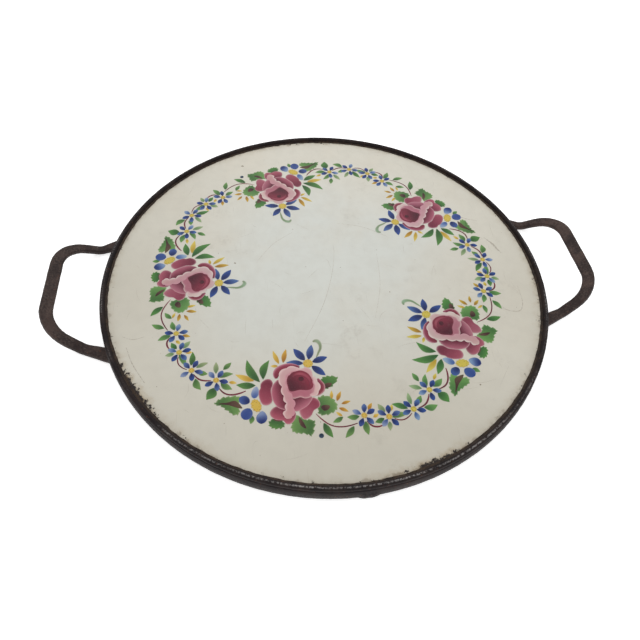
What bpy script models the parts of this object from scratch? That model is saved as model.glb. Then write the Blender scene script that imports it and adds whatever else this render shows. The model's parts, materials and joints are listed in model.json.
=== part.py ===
"""Round painted tray in an iron hoop, with two bar handles and two folding leg frames.

Metres, +Z up. The origin is at the centre of the hoop's lower edge, on the surface that the
folded tray lies on. X runs from handle to handle. Left is -X, right is +X, front is -Y.
"""
import math

import bmesh
import bpy
from mathutils import Matrix, Vector

# ---------------------------------------------------------------- driving dimensions
GAP = 0.0003                 # clearance between pieces that touch

HOOP_R = 0.2224              # outer radius of the iron hoop
HOOP_INNER_R = 0.2163
HOOP_H = 0.0210              # height of the hoop
BEAD_R = 0.0024              # round bead along the hoop's top
GROOVE_DEPTH = 0.0018        # groove between the bead and the outer face
HOOP_SEGMENTS = 72

PANEL_TOP = 0.0164           # height of the painted surface
PANEL_T = 0.0012
PANEL_R = 0.2148

LEDGE_T = 0.0015             # angle ring: thickness, inner radius, lower edge
LEDGE_INNER_R = 0.2024
LEDGE_BOTTOM = 0.0064

STRAP_T = 0.0022
STRAP_W = 0.0260
STRAP_END_R = 0.2139         # the strap's ends follow this circle

BAR_T = 0.0059               # handle: a flat forged bar, thickness and rounding of its edges
BAR_ROUNDING = 0.0013
BAR_ROOT_W = {"front": 0.0140, "back": 0.0135}     # bar width at the hoop
BAR_ARM_W = {"front": 0.0104, "back": 0.0082}      # along each arm: the front one is heavier
BAR_GRIP_W = 0.0117
BAR_FLARE = 0.0210           # length over which the root narrows to the arm
HANDLE_RIM_Y = 0.0703        # half spacing of the two arms at the hoop
HANDLE_TIP_Y = 0.0504        # half spacing of the arms' lines at the grip
HANDLE_RISE_X = 0.2332       # where the arms start to rise
HANDLE_REACH = 0.2649        # centre of the grip
HANDLE_ROOT_Z = 0.0033       # height where the arms meet the hoop
HANDLE_TIP_Z = 0.0249        # height of the grip
HANDLE_RISE_R = 0.0130       # radius of the upward bend
HANDLE_CORNER_R = 0.0325     # radius of the two corners

ROD_R = 0.0040               # leg rod
LEG_AXIS_X = 0.1650          # distance of each leg hinge from the centre
LEG_LENGTH = 0.1580          # hinge axis to foot bar
LEG_HALF_Y = 0.0850          # half spacing of a frame's two legs
LEG_BEND_R = 0.0080
STUB_END_Y = 0.1085          # outer end of the pivot stubs

SADDLE_T = 0.0015
SADDLE_Y = (0.0945, 0.1065)  # stretch of the stub that a saddle wraps
SADDLE_FOOT = 0.0126         # half width over the saddle's two feet

LUG_OFFSET = 0.0053          # stop lug's inner face, out from the hinge axis
LUG_T = 0.0020
LUG_HALF_Y = 0.0050
LUG_BOTTOM = 0.0008

SLEEVE_R = 0.0054
SLEEVE_Y = (0.0360, 0.0700)

CLIP_T = 0.0008
CLIP_HALF_IN = 0.0048        # half the clear width between a clip's jaws
CLIP_HALF_Y = 0.0070
CLIP_BOTTOM = 0.0030
CLIP_LIP = 0.0009

RIVET_R = 0.0015
RIVET_HEAD_R = 0.0026
RIVET_HEAD_H = 0.0013
LEDGE_RIVETS = 12
RIVET_SIDES = 10

# ---------------------------------------------------------------- worked-out heights
PANEL_BOTTOM = PANEL_TOP - PANEL_T
LEDGE_TOP = PANEL_BOTTOM - GAP
LEDGE_UNDER = LEDGE_TOP - LEDGE_T
LEDGE_OUTER_R = HOOP_INNER_R - GAP
STRAP_TOP = LEDGE_UNDER - GAP
STRAP_UNDER = STRAP_TOP - STRAP_T
LEG_AXIS_Z = STRAP_UNDER - GAP - ROD_R

SIDES = {"left": -1, "right": 1}
ENDS = {"front": -1, "back": 1}


# ---------------------------------------------------------------- small tools
def clear_scene():
    for obj in list(bpy.data.objects):
        bpy.data.objects.remove(obj, do_unlink=True)


def material(name, colour, roughness, metallic):
    made = bpy.data.materials.new(name)
    made.use_nodes = True
    shader = made.node_tree.nodes["Principled BSDF"]
    shader.inputs["Base Color"].default_value = (*colour, 1.0)
    shader.inputs["Roughness"].default_value = roughness
    shader.inputs["Metallic"].default_value = metallic
    return made


def add_object(name, bm, mat, smooth_angle=35):
    """Closes a bmesh into a named object with outward faces."""
    bmesh.ops.recalc_face_normals(bm, faces=bm.faces)
    mesh = bpy.data.meshes.new(name)
    bm.to_mesh(mesh)
    bm.free()
    mesh.materials.append(mat)
    mesh.shade_smooth()
    mesh.set_sharp_from_angle(angle=math.radians(smooth_angle))
    obj = bpy.data.objects.new(name, mesh)
    bpy.context.scene.collection.objects.link(obj)
    return obj


def arc(centre, radius, start, end, steps):
    """Points on an arc in a plane, angles in degrees."""
    points = []
    for i in range(steps + 1):
        a = math.radians(start + (end - start) * i / steps)
        points.append((centre[0] + radius * math.cos(a), centre[1] + radius * math.sin(a)))
    return points


def turned_ring(name, section, mat, segments=HOOP_SEGMENTS):
    """A closed (radius, height) section spun once round Z."""
    bm = bmesh.new()
    verts = [bm.verts.new((r, 0.0, z)) for r, z in section]
    edges = [bm.edges.new((verts[i], verts[i - 1])) for i in range(len(verts))]
    bmesh.ops.spin(bm, geom=verts + edges, cent=(0, 0, 0), axis=(0, 0, 1),
                   angle=2 * math.pi, steps=segments, use_merge=True)
    bmesh.ops.remove_doubles(bm, verts=bm.verts, dist=1e-6)
    return add_object(name, bm, mat)


def plate_into(bm, outline, low, high, axis="Z"):
    """Extrudes a closed outline between two heights along an axis, into a bmesh."""
    def spot(u, v, h):
        return {"Z": (u, v, h), "Y": (u, h, v)}[axis]
    verts = [bm.verts.new(spot(u, v, low)) for u, v in outline]
    face = bm.faces.new(verts)
    grown = bmesh.ops.extrude_face_region(bm, geom=[face])
    top = [g for g in grown["geom"] if isinstance(g, bmesh.types.BMVert)]
    rise = Vector(spot(0, 0, high)) - Vector(spot(0, 0, low))
    bmesh.ops.translate(bm, vec=rise, verts=top)


def box_outline(x0, x1, y0, y1):
    return [(x0, y0), (x1, y0), (x1, y1), (x0, y1)]


def bend(before, corner, after, radius, steps=7):
    """Points of the round bend that replaces a corner of a rod's route."""
    u = (before - corner).normalized()
    v = (after - corner).normalized()
    half = u.angle(v) / 2
    middle = corner + (u + v).normalized() * radius / math.sin(half)
    start = corner + u * radius / math.tan(half) - middle
    end = corner + v * radius / math.tan(half) - middle
    turn = start.angle(end)
    about = start.cross(end)
    return [middle + Matrix.Rotation(turn * i / steps, 3, about) @ start for i in range(steps + 1)]


def rod(name, route, radius, mat):
    """A round bar along a route."""
    curve = bpy.data.curves.new(name + "_route", "CURVE")
    curve.dimensions = "3D"
    curve.bevel_depth = radius
    curve.bevel_resolution = 4
    curve.use_fill_caps = True
    spline = curve.splines.new("POLY")
    spline.points.add(len(route) - 1)
    for point, place in zip(spline.points, route):
        point.co = (*place, 1.0)
    guide = bpy.data.objects.new(name + "_route", curve)
    bpy.context.scene.collection.objects.link(guide)
    shape = guide.evaluated_get(bpy.context.evaluated_depsgraph_get())
    bm = bmesh.new()
    bm.from_mesh(bpy.data.meshes.new_from_object(shape))
    bpy.data.objects.remove(guide, do_unlink=True)
    bmesh.ops.remove_doubles(bm, verts=bm.verts, dist=1e-6)
    return add_object(name, bm, mat)


def cut(obj, cutter, operation="DIFFERENCE"):
    """Applies a boolean and keeps the result as the object's own mesh."""
    cutter.hide_render = True
    cutter.display_type = "WIRE"
    step = obj.modifiers.new(operation.lower(), "BOOLEAN")
    step.operation = operation
    step.object = cutter
    step.solver = "EXACT"
    shape = obj.evaluated_get(bpy.context.evaluated_depsgraph_get())
    mesh = bpy.data.meshes.new_from_object(shape)
    obj.modifiers.clear()
    obj.data = mesh
    bpy.data.objects.remove(cutter, do_unlink=True)
    mesh.shade_smooth()
    mesh.set_sharp_from_angle(angle=math.radians(35))


def turned_into(bm, profile, frame, sides=RIVET_SIDES):
    """Spins a (radius, height) profile that starts and ends on the axis, placed by a matrix."""
    rings = []
    for r, z in profile:
        if r == 0:
            rings.append([bm.verts.new(frame @ Vector((0, 0, z)))])
            continue
        ring = []
        for k in range(sides):
            a = 2 * math.pi * k / sides
            ring.append(bm.verts.new(frame @ Vector((r * math.cos(a), r * math.sin(a), z))))
        rings.append(ring)
    for lower, upper in zip(rings, rings[1:]):
        for k in range(sides):
            n = (k + 1) % sides
            corners = [lower[k % len(lower)], lower[n % len(lower)],
                       upper[n % len(upper)], upper[k % len(upper)]]
            unique = list(dict.fromkeys(corners))
            bm.faces.new(unique)


def aimed(place, direction):
    """A frame at a place whose Z points along a direction."""
    turn = Vector(direction).to_track_quat("Z", "Y").to_matrix().to_4x4()
    return Matrix.Translation(Vector(place)) @ turn


def rivets(name, places, shank, mat):
    """Round-headed rivets. Each place is on the plate's face, its direction runs into the plate."""
    profile = [(0.0, -GAP - RIVET_HEAD_H),
               (RIVET_HEAD_R * 0.62, -GAP - RIVET_HEAD_H * 0.78),
               (RIVET_HEAD_R, -GAP),
               (RIVET_R, -GAP),
               (RIVET_R, shank),
               (0.0, shank)]
    for number, (place, direction) in enumerate(places, start=1):
        bm = bmesh.new()
        turned_into(bm, profile, aimed(place, direction))
        add_object(f"{name}_{number:02d}", bm, mat)


def drill(obj, places, low, high):
    """Cuts clearance holes for rivets at the same places."""
    bm = bmesh.new()
    profile = [(0.0, low), (RIVET_R + GAP, low), (RIVET_R + GAP, high), (0.0, high)]
    for place, direction in places:
        turned_into(bm, profile, aimed(place, direction))
    cut(obj, add_object(obj.name + "_drill", bm, obj.data.materials[0]))


def set_origin(obj, pivot, place):
    """Puts an object's origin on its pivot and hangs it there."""
    obj.data.transform(Matrix.Translation(-place))
    obj.parent = pivot


# ---------------------------------------------------------------- materials
def make_materials():
    return {
        "paint": material("cream_paint", (0.55, 0.52, 0.42), 0.45, 0.0),
        "iron": material("dark_iron", (0.030, 0.024, 0.023), 0.45, 0.8),
        "bar": material("brown_forged_iron", (0.060, 0.043, 0.038), 0.5, 0.8),
        "putty": material("old_putty", (0.20, 0.13, 0.06), 0.8, 0.0),
        "steel": material("blackened_steel", (0.05, 0.047, 0.045), 0.5, 0.9),
        "rivet": material("steel_rivet", (0.16, 0.15, 0.14), 0.4, 1.0),
        "spring": material("spring_steel", (0.22, 0.22, 0.23), 0.3, 1.0),
        "rubber": material("black_rubber", (0.018, 0.018, 0.019), 0.8, 0.0),
    }


# ---------------------------------------------------------------- tray
def hoop_section():
    """Flat inside, round bead on top, groove, then a tall outer face that swells a little."""
    bead_x = HOOP_INNER_R + BEAD_R
    bead_z = HOOP_H - BEAD_R
    face_low = 0.0007
    face_high = bead_z - GROOVE_DEPTH - 0.0010
    swell = 0.0010
    middle = (face_low + face_high) / 2
    half = (face_high - face_low) / 2
    bow_r = (half ** 2 + swell ** 2) / (2 * swell)
    spread = math.degrees(math.asin(half / bow_r))
    section = [(HOOP_INNER_R, 0.0)]
    section += arc((bead_x, bead_z), BEAD_R, 180, 0, 8)
    section += [(bead_x + BEAD_R - 0.0004, bead_z - GROOVE_DEPTH)]
    section += arc((HOOP_R - bow_r, middle), bow_r, spread, -spread, 6)
    section += [(HOOP_R - swell - 0.0007, 0.0)]
    return section


def ledge_section():
    inner_wall = LEDGE_OUTER_R - LEDGE_T
    return [(LEDGE_INNER_R, LEDGE_UNDER), (LEDGE_INNER_R, LEDGE_TOP),
            (LEDGE_OUTER_R, LEDGE_TOP), (LEDGE_OUTER_R, LEDGE_BOTTOM),
            (inner_wall, LEDGE_BOTTOM), (inner_wall, LEDGE_UNDER)]


def make_tray(mats):
    panel = bmesh.new()
    circle = [(PANEL_R * math.cos(2 * math.pi * k / HOOP_SEGMENTS),
               PANEL_R * math.sin(2 * math.pi * k / HOOP_SEGMENTS)) for k in range(HOOP_SEGMENTS)]
    plate_into(panel, circle, PANEL_BOTTOM, PANEL_TOP)
    add_object("tray_panel", panel, mats["paint"])

    hoop = turned_ring("rim_hoop", hoop_section(), mats["iron"])
    seal_in = PANEL_R + GAP
    seal_out = HOOP_INNER_R - GAP
    seal = [(seal_in, PANEL_BOTTOM), (seal_in, PANEL_TOP - 0.0002),
            (seal_out, PANEL_TOP + 0.0004), (seal_out, PANEL_BOTTOM)]
    turned_ring("edge_seal", seal, mats["putty"])

    ledge = turned_ring("ledge_ring", ledge_section(), mats["steel"])
    height = (LEDGE_BOTTOM + LEDGE_UNDER) / 2 - 0.0002
    places = []
    for k in range(LEDGE_RIVETS):
        a = 2 * math.pi * k / LEDGE_RIVETS
        out = Vector((math.cos(a), math.sin(a), 0))
        places.append((out * (LEDGE_OUTER_R - LEDGE_T) + Vector((0, 0, height)), out))
    depth = 0.0052
    drill(ledge, places, -0.001, LEDGE_T + 0.001)
    drill(hoop, places, 0.0, depth + GAP)
    rivets("ledge_rivet", places, depth, mats["rivet"])
    return ledge


def bar_section(width):
    """Rectangle with rounded edges, across the bar and through its thickness."""
    u = width / 2
    v = BAR_T / 2
    c = BAR_ROUNDING
    corner = [(u, v - c), (u - 0.3 * c, v - 0.3 * c), (u - c, v)]
    quarter = corner + [(-a, b) for a, b in reversed(corner)]
    return quarter + [(-a, -b) for a, b in quarter]


def along(stations, distance):
    """Straight-line interpolation through (distance, value) stations."""
    for (d0, v0), (d1, v1) in zip(stations, stations[1:]):
        if distance <= d1:
            return v0 + (v1 - v0) * max(0.0, distance - d0) / (d1 - d0)
    return stations[-1][1]


def handle_half(side):
    """Route of the half with +Y, from inside the hoop's wall to the start of the grip."""
    rim_x = math.sqrt(HOOP_R ** 2 - HANDLE_RIM_Y ** 2)
    slope = (HANDLE_TIP_Y - HANDLE_RIM_Y) / (HANDLE_REACH - rim_x)

    def spot(x, z):
        return Vector((side * x, HANDLE_RIM_Y + slope * (x - rim_x), z))
    root = spot(rim_x - 0.006, HANDLE_ROOT_Z)
    knee = spot(HANDLE_RISE_X, HANDLE_ROOT_Z)
    tip = spot(HANDLE_REACH, HANDLE_TIP_Z)
    across = Vector((tip.x, -tip.y, tip.z))
    straight = [root.lerp(knee, t) for t in (0.0, 0.25, 0.45)]
    rise = bend(root, knee, tip, HANDLE_RISE_R, 4)
    corner = bend(knee, tip, across, HANDLE_CORNER_R, 8)
    tilt = (tip - knee).cross(across - tip).normalized()
    return straight + rise + corner, knee, corner[0], (tilt if tilt.z > 0 else -tilt)


def make_handle(name, side, mats):
    """One flat bar: flared root, level arm, bend, rising arm, corner, grip, and the same back."""
    half, knee, corner, tilt = handle_half(side)
    route = half + [Vector((p.x, -p.y, p.z)) for p in reversed(half)]
    run = [0.0]
    for before, after in zip(route, route[1:]):
        run.append(run[-1] + (after - before).length)
    corner_at = run[half.index(corner)]
    grip_at = run[len(half) - 1]
    widths = {}
    for end in ENDS:
        root_w = BAR_ROOT_W[end]
        arm_w = BAR_ARM_W[end]
        widths[end] = [(0.006, root_w), (0.006 + BAR_FLARE * 0.45, (root_w + arm_w) * 0.485),
                       (0.006 + BAR_FLARE, arm_w), (corner_at, 0.75 * arm_w + 0.25 * BAR_GRIP_W),
                       (grip_at, BAR_GRIP_W)]
    bm = bmesh.new()
    rings = []
    for i, place in enumerate(route):
        ahead = (route[min(i + 1, len(route) - 1)] - route[max(i - 1, 0)]).normalized()
        tilted = min(1.0, max(0.0, (abs(place.x) - abs(knee.x) + 0.0066) / 0.0132))
        up = (Vector((0, 0, 1)).lerp(tilt, tilted)).normalized()
        across = ahead.cross(up).normalized()
        up = across.cross(ahead)
        end = "back" if place.y > 0 else "front"
        section = bar_section(along(widths[end], min(run[i], run[-1] - run[i])))
        rings.append([bm.verts.new(place + across * u + up * v) for u, v in section])
    for lower, upper in zip(rings, rings[1:]):
        for k in range(len(lower)):
            n = (k + 1) % len(lower)
            bm.faces.new((lower[k], lower[n], upper[n], upper[k]))
    bm.faces.new(rings[0])
    bm.faces.new(rings[-1])
    handle = add_object(name, bm, mats["bar"])
    trim = bmesh.new()
    turned_into(trim, [(0, -0.05), (HOOP_R + GAP, -0.05), (HOOP_R + GAP, 0.08), (0, 0.08)],
                Matrix.Identity(4), 144)
    cut(handle, add_object(name + "_trim", trim, mats["bar"]))
    return handle


# ---------------------------------------------------------------- leg gear
def strap_outline(side):
    """Long sides parallel to Y, ends on the circle inside the ledge ring's wall."""
    inner = LEG_AXIS_X - STRAP_W / 2
    outer = LEG_AXIS_X + STRAP_W / 2
    low = math.degrees(math.acos(outer / STRAP_END_R))
    high = math.degrees(math.acos(inner / STRAP_END_R))
    back = arc((0, 0), STRAP_END_R, low, high, 5)
    front = [(x, -y) for x, y in reversed(back)]
    return [(side * x, y) for x, y in back + front]


def make_strap(name, side, mats):
    bm = bmesh.new()
    plate_into(bm, strap_outline(side), STRAP_UNDER, STRAP_TOP)
    strap = add_object(name, bm, mats["steel"])
    lugs = bmesh.new()
    inner = side * (LEG_AXIS_X + LUG_OFFSET)
    outer = side * (LEG_AXIS_X + LUG_OFFSET + LUG_T)
    for end in ENDS.values():
        y = end * LEG_HALF_Y
        outline = box_outline(inner, outer, y - LUG_HALF_Y, y + LUG_HALF_Y)
        plate_into(lugs, outline, LUG_BOTTOM, STRAP_UNDER + STRAP_T / 2)
    cut(strap, add_object(name + "_lugs", lugs, mats["steel"]), "UNION")
    return strap


def saddle_outline(side):
    """Half-round channel under the stub with a flat foot on each side, in X and Z."""
    inner_r = ROD_R + GAP
    outer_r = inner_r + SADDLE_T
    foot_top = STRAP_UNDER - GAP
    foot_low = foot_top - SADDLE_T
    centre = (side * LEG_AXIS_X, LEG_AXIS_Z)
    inner = arc(centre, inner_r, 0, -180, 10)
    outer = arc(centre, outer_r, -180, 0, 10)
    x = side * LEG_AXIS_X
    left_foot = [(x - inner_r, foot_top), (x - SADDLE_FOOT, foot_top), (x - SADDLE_FOOT, foot_low),
                 (x - outer_r, foot_low)]
    right_foot = [(x + outer_r, foot_low), (x + SADDLE_FOOT, foot_low),
                  (x + SADDLE_FOOT, foot_top), (x + inner_r, foot_top)]
    return inner + left_foot + outer + right_foot


def make_saddle(name, side, end, mats):
    bm = bmesh.new()
    y0, y1 = sorted(end * y for y in SADDLE_Y)
    plate_into(bm, saddle_outline(side), y0, y1, axis="Y")
    return add_object(name, bm, mats["steel"])


def make_leg_frame(name, side, mats):
    """Pivot stub, leg, foot bar, leg, pivot stub, all one bent rod."""
    hinge = side * LEG_AXIS_X
    foot = side * (LEG_AXIS_X - LEG_LENGTH)
    z = LEG_AXIS_Z
    corners = [Vector((hinge, -STUB_END_Y, z)), Vector((hinge, -LEG_HALF_Y, z)),
               Vector((foot, -LEG_HALF_Y, z)), Vector((foot, LEG_HALF_Y, z)),
               Vector((hinge, LEG_HALF_Y, z)), Vector((hinge, STUB_END_Y, z))]
    route = [corners[0]]
    for i in range(1, len(corners) - 1):
        route += bend(corners[i - 1], corners[i], corners[i + 1], LEG_BEND_R, 5)
    route.append(corners[-1])
    return rod(name, route, ROD_R, mats["steel"])


def make_sleeve(name, side, end, mats):
    """Rubber tube on the foot bar."""
    x = side * (LEG_AXIS_X - LEG_LENGTH)
    y0, y1 = sorted(end * y for y in SLEEVE_Y)
    inner_r = ROD_R + GAP
    round_off = 0.0004
    section = [(inner_r, y0), (SLEEVE_R - round_off, y0), (SLEEVE_R, y0 + round_off),
               (SLEEVE_R, y1 - round_off), (SLEEVE_R - round_off, y1), (inner_r, y1)]
    sleeve = turned_ring(name, section, mats["rubber"], segments=18)
    turn = Matrix.Rotation(math.radians(-90), 4, "X")
    sleeve.data.transform(Matrix.Translation((x, 0, LEG_AXIS_Z)) @ turn)
    return sleeve


def clip_outline(side):
    """U-shaped spring clip, open downwards, with its lips turned outwards, in X and Z."""
    x = side * (LEG_AXIS_X - LEG_LENGTH)
    top = PANEL_BOTTOM - GAP
    lip_z = CLIP_BOTTOM + 0.0016
    outside = CLIP_HALF_IN + CLIP_T
    half = [(outside, top), (outside, lip_z), (outside + CLIP_LIP, CLIP_BOTTOM),
            (CLIP_HALF_IN + CLIP_LIP, CLIP_BOTTOM), (CLIP_HALF_IN, lip_z),
            (CLIP_HALF_IN, top - CLIP_T)]
    mirrored = [(-u, z) for u, z in reversed(half)]
    return [(x + u, z) for u, z in half + mirrored]


def make_clip(name, side, mats):
    bm = bmesh.new()
    plate_into(bm, clip_outline(side), -CLIP_HALF_Y, CLIP_HALF_Y, axis="Y")
    return add_object(name, bm, mats["spring"])


def strap_rivet_places(side):
    """Two at each strap end, side by side over the ledge ring's flange."""
    ring_r = (LEDGE_INNER_R + STRAP_END_R) / 2 - 0.0004
    places = []
    for end in ENDS.values():
        for offset in (-0.0062, 0.0062):
            x = LEG_AXIS_X + offset
            y = math.sqrt(ring_r ** 2 - x ** 2)
            places.append((Vector((side * x, end * y, STRAP_UNDER)), (0, 0, 1)))
    return places


def saddle_rivet_places(side):
    """One through each saddle foot."""
    foot_middle = (ROD_R + GAP + SADDLE_T + SADDLE_FOOT) / 2
    y = sum(SADDLE_Y) / 2
    face = STRAP_UNDER - GAP - SADDLE_T
    places = []
    for end in ENDS.values():
        for way in (-1, 1):
            x = side * LEG_AXIS_X + way * foot_middle
            places.append((Vector((x, end * y, face)), (0, 0, 1)))
    return places


def make_leg_gear(ledge, mats):
    strap_places = []
    saddle_places = []
    for word, side in SIDES.items():
        pivot = bpy.data.objects.new("leg_" + word + "_pivot", None)
        pivot.location = (side * LEG_AXIS_X, 0, LEG_AXIS_Z)
        bpy.context.scene.collection.objects.link(pivot)

        strap = make_strap("strap_" + word, side, mats)
        at_ends = strap_rivet_places(side)
        at_saddles = saddle_rivet_places(side)
        drill(strap, at_ends + at_saddles, -0.001, SADDLE_T + STRAP_T + 0.002)
        drill(ledge, at_ends, STRAP_T, STRAP_T + LEDGE_T + 0.002)

        frame = make_leg_frame("leg_frame_" + word, side, mats)
        set_origin(frame, pivot, pivot.location)
        for way, end in ENDS.items():
            saddle = make_saddle("hinge_saddle_" + word + "_" + way, side, end, mats)
            here = [p for p in at_saddles if p[0].y * end > 0]
            drill(saddle, here, -0.001, SADDLE_T + 0.001)
            sleeve = make_sleeve("foot_sleeve_" + word + "_" + way, side, end, mats)
            set_origin(sleeve, pivot, pivot.location)
        make_clip("stow_clip_" + word, side, mats)
        strap_places += at_ends
        saddle_places += at_saddles
    flush = 0.0001
    rivets("strap_rivet", strap_places, STRAP_T + GAP + LEDGE_T - flush, mats["rivet"])
    rivets("saddle_rivet", saddle_places, SADDLE_T + GAP + STRAP_T - flush, mats["rivet"])


def main():
    clear_scene()
    mats = make_materials()
    ledge = make_tray(mats)
    for word, side in SIDES.items():
        make_handle("handle_" + word, side, mats)
    make_leg_gear(ledge, mats)


main()
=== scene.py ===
"""Looks of the folding tray table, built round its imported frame.

Metres, in the frame's own axes: +Z up, X from handle to handle, left is -X, front is -Y.
The painted garland is one spray of flowers drawn once, in millimetres, and repeated five times.
"""

import json
import random
from math import asin, atan2, copysign, cos, degrees, exp, hypot, log, pi, radians, sin, sqrt, tan

import bmesh
import bpy
import numpy as np
from mathutils import Matrix, Vector, noise


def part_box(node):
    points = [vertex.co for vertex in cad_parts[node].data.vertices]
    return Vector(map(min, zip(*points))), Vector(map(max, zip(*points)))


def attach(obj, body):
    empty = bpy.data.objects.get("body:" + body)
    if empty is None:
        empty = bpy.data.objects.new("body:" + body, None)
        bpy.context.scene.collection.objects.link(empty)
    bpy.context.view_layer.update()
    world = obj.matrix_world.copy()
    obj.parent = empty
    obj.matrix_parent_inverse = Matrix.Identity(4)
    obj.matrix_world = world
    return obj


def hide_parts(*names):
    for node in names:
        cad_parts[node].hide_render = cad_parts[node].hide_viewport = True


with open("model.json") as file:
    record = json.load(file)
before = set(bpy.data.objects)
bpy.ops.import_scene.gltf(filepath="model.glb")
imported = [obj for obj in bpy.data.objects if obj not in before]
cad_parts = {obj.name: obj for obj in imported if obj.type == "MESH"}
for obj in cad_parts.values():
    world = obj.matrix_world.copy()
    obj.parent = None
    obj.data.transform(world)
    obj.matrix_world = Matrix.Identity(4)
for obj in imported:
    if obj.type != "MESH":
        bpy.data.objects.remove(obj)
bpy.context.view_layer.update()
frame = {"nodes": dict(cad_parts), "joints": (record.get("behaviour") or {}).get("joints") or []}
MM = 0.001

# ---------------------------------------------------------------- sizes read from the frame
HOOP_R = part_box("rim_hoop")[1].x
HOOP_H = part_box("rim_hoop")[1].z
PANEL_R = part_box("tray_panel")[1].x
PANEL_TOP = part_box("tray_panel")[1].z
PANEL_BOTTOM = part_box("tray_panel")[0].z
HINGES = {j["child"]: Vector(j["pos_m"]) for j in frame["joints"]}

# ---------------------------------------------------------------- sizes shared with the part
GAP = 0.0003
HOOP_INNER_R = 0.2163
BEAD_R = 0.0024
GROOVE_DEPTH = 0.0018
FACE_SWELL = 0.0010
LEDGE_T = 0.0015
LEDGE_INNER_R = 0.2024
LEDGE_BOTTOM = 0.0064
ROD_R = 0.0040
LEG_HALF_Y = 0.0850
LEG_BEND_R = 0.0080
RIVET_R = 0.0015
RIVET_HEAD_R = 0.0026
RIVET_HEAD_H = 0.0013

# ---------------------------------------------------------------- view, floor and light
VIEW_FROM = radians(-100.24)
VIEW_RISE = radians(49.42)
VIEW_ROLL = radians(3.675)
VIEW_DISTANCE = 0.5197
VIEW_TARGET = Vector((-0.0133, -0.0577, PANEL_TOP))
LENS_MM = 28.58
FLOOR_Z = -0.0001             # the surface that the folded tray lies on
FLOOR_HALF = 40.0
FLOOR_GLOW = 0.60             # the floor is a light table, so that the object throws little shadow
WORLD_GLOW = 0.80

# ---------------------------------------------------------------- painted garland
SPRAYS = 5
SPRAY_FIRST = radians(38.06)   # direction of the first rose from the tray's centre
DOTTED_SPRAYS = (1, 3)              # sprays with a round register dot beside the rose
LAYER = 0.03 * MM                   # thickness of one layer of transfer paint


# ================================================================ small tools
def linear(colour):
    """A colour given as 0-255 display values, as linear light."""
    out = []
    for c in colour:
        c = c / 255
        out.append(c / 12.92 if c <= 0.04045 else ((c + 0.055) / 1.055) ** 2.4)
    return tuple(out)


def ease(x, low, high):
    """0 below low, 1 above high, smooth between."""
    t = min(1.0, max(0.0, (x - low) / (high - low)))
    return t * t * (3 - 2 * t)


def blend_colour(a, b, t):
    return tuple(p + (q - p) * t for p, q in zip(a, b))


def polar(radius, angle):
    return radius * cos(angle), radius * sin(angle)


def arc(centre, radius, start, end, steps):
    """Points on an arc in a plane, angles in degrees."""
    points = []
    for i in range(steps + 1):
        a = radians(start + (end - start) * i / steps)
        points.append((centre[0] + radius * cos(a), centre[1] + radius * sin(a)))
    return points


def smooth_path(knots, steps, closed=False):
    """A Catmull-Rom curve through tuples of numbers, with so many steps between two knots."""
    n = len(knots)
    path = []
    for i in range(n if closed else n - 1):
        around = []
        for j in (i - 1, i, i + 1, i + 2):
            around.append(np.array(knots[j % n if closed else min(max(j, 0), n - 1)], float))
        a, b, c, d = around
        for k in range(steps):
            t = k / steps
            path.append(0.5 * (2 * b + (c - a) * t + (2 * a - 5 * b + 4 * c - d) * t * t
                               + (3 * b - a - 3 * c + d) * t ** 3))
    if not closed:
        path.append(np.array(knots[-1], float))
    return path


def grid_faces(rows, columns, wrap_rows=False, wrap_columns=False, first=0):
    """Quads over a grid of points stored row by row."""
    faces = []
    for i in range(rows if wrap_rows else rows - 1):
        for j in range(columns if wrap_columns else columns - 1):
            a = first + i * columns + j
            b = first + i * columns + (j + 1) % columns
            step = ((i + 1) % rows - i) * columns
            faces.append((a, b, b + step, a + step))
    return faces


def put(name, data):
    """Puts an object with this mesh, lamp or camera in the scene."""
    obj = bpy.data.objects.new(name, data)
    bpy.context.scene.collection.objects.link(obj)
    return obj


def add_piece(mesh, mats, body="tray", replaces=(), sharp=40):
    """Puts a mesh in the scene as a piece of the object, under the mesh's name. Edges above
    sharp degrees stay sharp, and 0 keeps every face flat."""
    if sharp:
        mesh.shade_smooth()
        mesh.set_sharp_from_angle(angle=radians(sharp))
    if not mesh.materials:
        for mat in mats:
            mesh.materials.append(mat)
    obj = put(mesh.name, mesh)
    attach(obj, body)
    if replaces:
        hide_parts(*replaces)


def mesh_of(name, points, faces):
    mesh = bpy.data.meshes.new(name)
    mesh.from_pydata([tuple(p) for p in points], [], faces)
    mesh.validate()
    return mesh


def reshape(mesh, change):
    """Runs change on a mesh's BMesh."""
    bm = bmesh.new()
    bm.from_mesh(mesh)
    change(bm)
    bm.to_mesh(mesh)
    bm.free()
    return mesh


def outward(mesh):
    """Turns a closed mesh's faces outwards."""
    return reshape(mesh, lambda bm: bmesh.ops.recalc_face_normals(bm, faces=bm.faces))


def point_values(mesh, name, values):
    """Stores one number a point, for a material to read."""
    made = mesh.attributes.new(name, "FLOAT", "POINT")
    made.data.foreach_set("value", np.array(values, np.float32))


def turned(name, section, steps, wobble=None):
    """A closed (radius, height) section swept round Z. wobble returns the changed radius and height."""
    points = []
    for i in range(steps):
        a = 2 * pi * i / steps
        for r, z in section:
            if wobble:
                r, z = wobble(r, z, a)
            points.append((*polar(r, a), z))
    return outward(mesh_of(name, points, grid_faces(steps, len(section), True, True)))


def roundabout(angle, radius, scale, seed):
    """Smooth noise that closes on itself round the tray. scale is the size of its lumps."""
    return noise.noise(Vector((*polar(radius, angle), seed)) / scale)


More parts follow.
